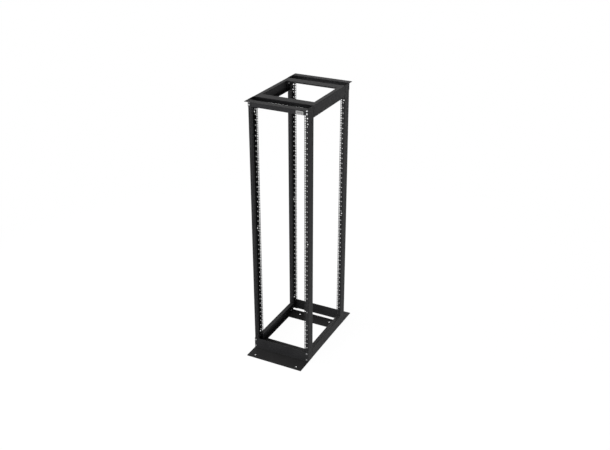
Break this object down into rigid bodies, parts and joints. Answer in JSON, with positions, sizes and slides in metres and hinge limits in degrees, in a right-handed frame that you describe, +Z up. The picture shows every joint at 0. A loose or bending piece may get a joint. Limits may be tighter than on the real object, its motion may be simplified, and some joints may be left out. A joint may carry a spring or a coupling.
{
  "type": "four post open frame equipment rack",
  "caption": "Open frame equipment rack with perforated channel posts, wide anchored feet, lipped top angles and side channels.",
  "frame": {"origin": "on the floor, in the middle of the rack's width and depth", "axes": "+Z up, the front faces -Y, +X to the right seen from the front"},
  "size_m": [0.527, 1.041, 2.2924],
  "materials": {
    "frame_paint": "satin black powder coat"
  },
  "bodies": {
    "root": {"post_front_left": "frame_paint", "post_front_right": "frame_paint", "base_angle_front": "frame_paint", "base_tie_plate_front": "frame_paint", "top_angle_front": "frame_paint", "top_inner_angle_front": "frame_paint", "post_rear_left": "frame_paint", "post_rear_right": "frame_paint", "base_angle_rear": "frame_paint", "base_tie_plate_rear": "frame_paint", "top_angle_rear": "frame_paint", "top_inner_angle_rear": "frame_paint", "side_channel_base_left": "frame_paint", "side_channel_top_left": "frame_paint", "clip_base_front_left": "frame_paint", "clip_top_front_left": "frame_paint", "clip_base_rear_left": "frame_paint", "clip_top_rear_left": "frame_paint", "side_channel_base_right": "frame_paint", "side_channel_top_right": "frame_paint", "clip_base_front_right": "frame_paint", "clip_top_front_right": "frame_paint", "clip_base_rear_right": "frame_paint", "clip_top_rear_right": "frame_paint"}
  },
  "joints": []
}
